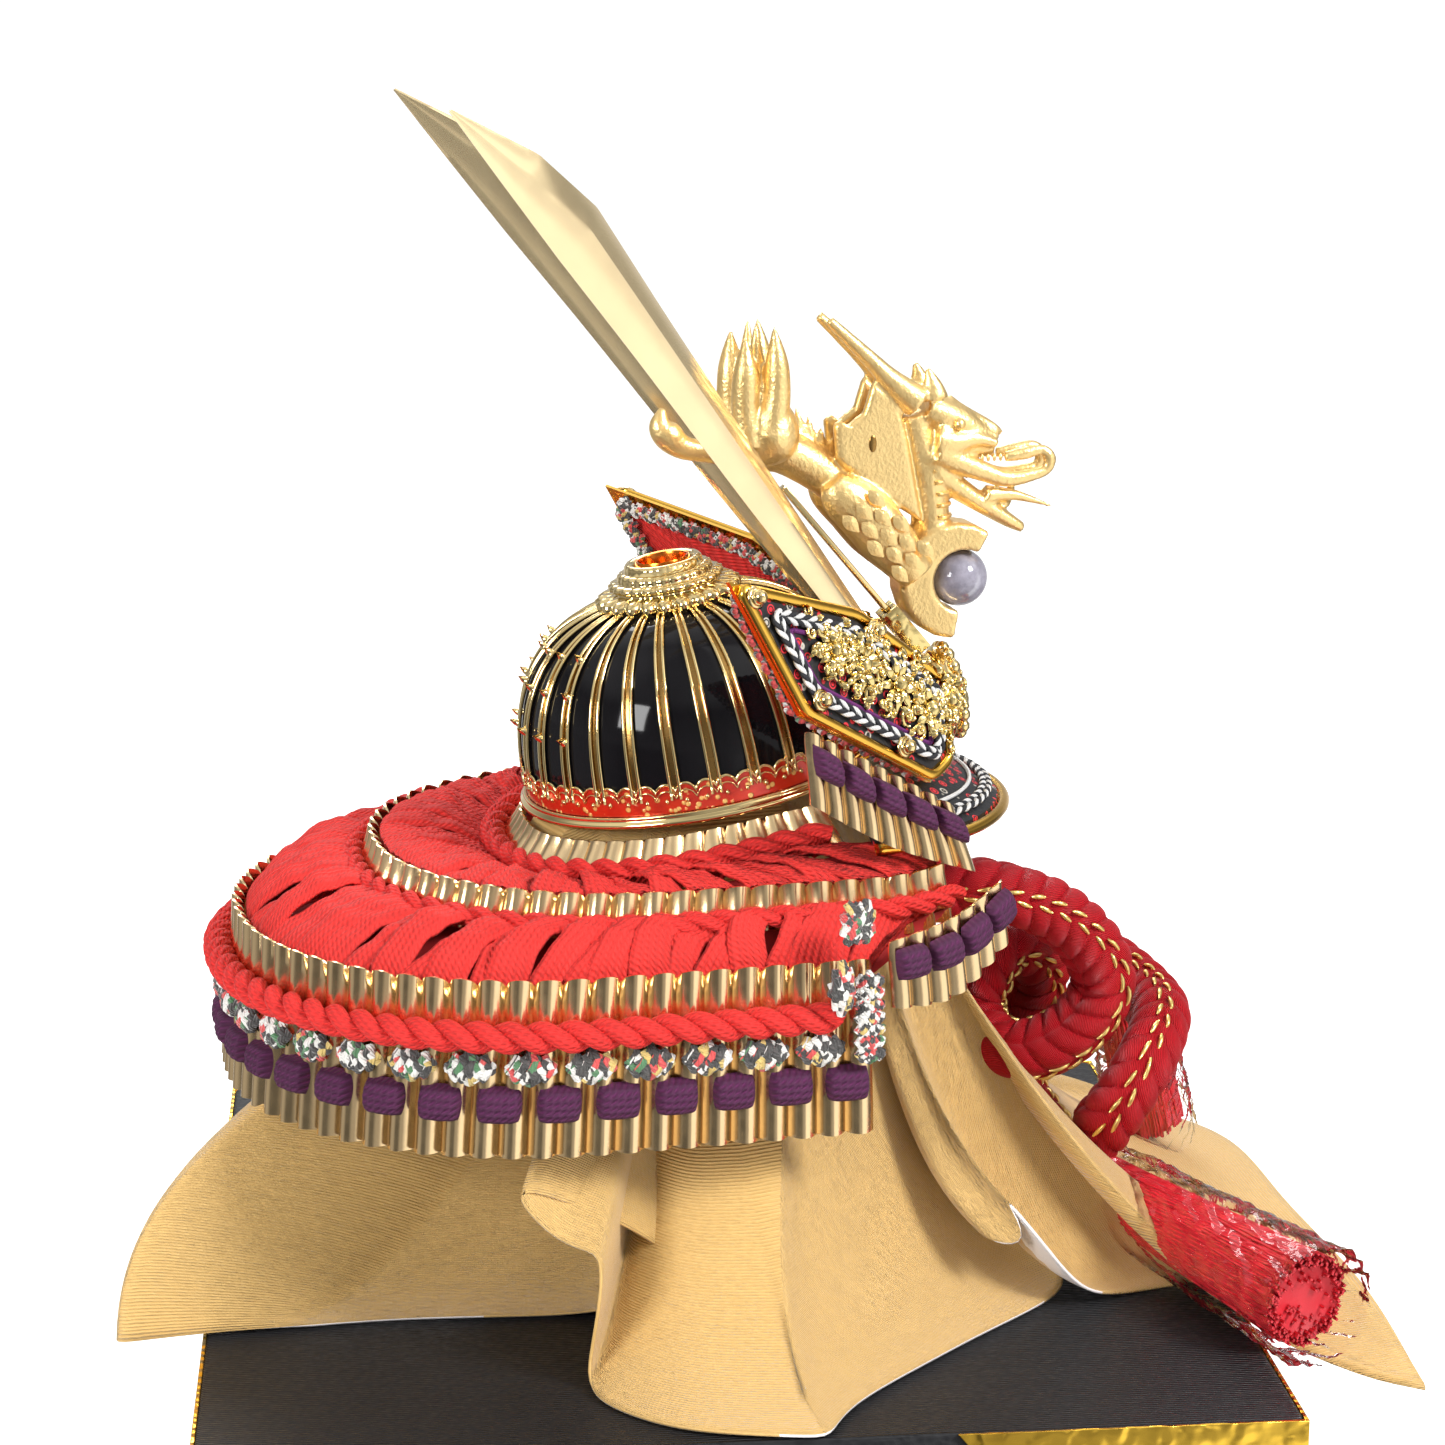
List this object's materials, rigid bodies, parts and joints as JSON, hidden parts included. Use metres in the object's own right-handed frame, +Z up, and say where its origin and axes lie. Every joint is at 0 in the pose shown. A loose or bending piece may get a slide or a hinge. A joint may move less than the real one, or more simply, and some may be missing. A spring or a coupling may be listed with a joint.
{
  "type": "ornamental samurai helmet display",
  "caption": "Miniature ribbed samurai helmet with blade horns, dragon crest, laced neck guard and knotted red cord, on a cloth over a square storage box.",
  "frame": {"origin": "centre of the underside of the storage box", "axes": "+Z up, -Y towards the helmet's front before it is turned, -X towards the helmet's right side"},
  "size_m": [0.1814, 0.1975, 0.3186],
  "materials": {
    "box_black": "black fine-ribbed paper leather",
    "fitting_gold": "satin gold foil, embossed",
    "stand_wood": "plain pale wood",
    "stand_foam": "pale foam",
    "cloth_gold": "ochre gold ribbed crepe",
    "lacquer_black": "glossy black lacquer",
    "gilt": "polished pale gold plate",
    "gilt_orange": "orange gold",
    "enamel_red": "translucent red over chased gold",
    "lining_red": "dark red cloth",
    "leather_black": "black leather with small red flowers",
    "braid_chevron": "black, white and red chevron braid",
    "lace_red": "scarlet knitted ribbon",
    "lace_purple": "dark purple knitted lace",
    "cast_gold": "satin granular cast gold",
    "orb_glass": "grey clear ball",
    "cord_red": "red plaited silk with gold thread",
    "tassel_red": "red thread brush",
    "film_clear": "thin clear film"
  },
  "bodies": {
    "box": {"box_base": "box_black"},
    "lid": {"box_lid": "box_black", "lid_corner_fittings": "fitting_gold", "stand_base": "stand_wood", "stand_post": "stand_wood", "stand_head": "stand_foam", "display_cloth": "cloth_gold"},
    "middle_lame": {"neck_lame_middle": "gilt", "braid_middle": "lace_red", "turned_lame_right": "gilt", "turned_lame_left": "gilt", "turned_lacing": "lace_purple", "lacing_lower": "lace_red"},
    "bottom_lame": {"neck_lame_bottom": "gilt", "braid_bottom": "lace_red", "bead_lacing": "braid_chevron", "purple_lacing": "lace_purple", "edge_lacing": "braid_chevron"},
    "right_horn": {"horn_right": "gilt"},
    "left_horn": {"horn_left": "gilt"},
    "dragon_crest": {"dragon": "cast_gold", "dragon_orb": "orb_glass", "dragon_pin": "gilt"},
    "helmet": {"helmet_bowl": "lacquer_black", "bowl_ribs": "gilt", "bowl_band": "enamel_red", "bowl_rim": "gilt", "crown_plate": "gilt", "crown_cup": "gilt_orange", "helmet_lining": "lining_red", "visor_plate": "leather_black", "visor_rim": "gilt_orange", "visor_braid": "braid_chevron", "neck_lame_top": "gilt", "braid_top": "lace_red", "lacing_upper": "lace_red", "side_plate_right": "gilt_orange", "side_plate_left": "gilt_orange", "side_leather_right": "leather_black", "side_leather_left": "leather_black", "side_rim_right": "gilt_orange", "side_rim_left": "gilt_orange", "side_braid_right": "braid_chevron", "side_braid_left": "braid_chevron", "side_crest_right": "gilt", "side_crest_left": "gilt", "side_rivets_right": "gilt", "side_rivets_left": "gilt", "side_lame_right": "gilt", "side_lame_left": "gilt", "side_lacing": "lace_purple", "crest_base": "gilt", "crest_medallion": "gilt", "cord_right": "cord_red", "cord_left": "cord_red", "tassel_right": "tassel_red", "tassel_left": "tassel_red", "film_right": "film_clear", "film_left": "film_clear"}
  },
  "joints": [
    {"name": "lid_lift", "type": "slide", "parent": "box", "child": "lid", "axis": [0, 0, 1], "range_m": [0, 0.08]},
    {"name": "helmet_lift", "type": "slide", "parent": "lid", "child": "helmet", "axis": [0, 0, 1], "range_m": [0, 0.08]},
    {"name": "middle_lame_rise", "type": "slide", "parent": "helmet", "child": "middle_lame", "axis": [0, 0, 1], "range_m": [0, 0.002], "deforming": ["lacing_upper"]},
    {"name": "bottom_lame_rise", "type": "slide", "parent": "middle_lame", "child": "bottom_lame", "axis": [0, 0, 1], "range_m": [0, 0.002], "deforming": ["lacing_lower"]},
    {"name": "right_horn_pull", "type": "slide", "parent": "helmet", "child": "right_horn", "axis": [-0.2224, 0.5447, 0.8086], "range_m": [0, 0.012]},
    {"name": "left_horn_pull", "type": "slide", "parent": "helmet", "child": "left_horn", "axis": [0.0636, 0.5849, 0.8086], "range_m": [0, 0.012]},
    {"name": "dragon_pull", "type": "slide", "parent": "helmet", "child": "dragon_crest", "axis": [-0.0896, 0.6379, 0.7649], "range_m": [0, 0.012]}
  ],
  "couplings": [
    {"joint": "bottom_lame_rise", "follows": "middle_lame_rise", "ratio": 1}
  ]
}
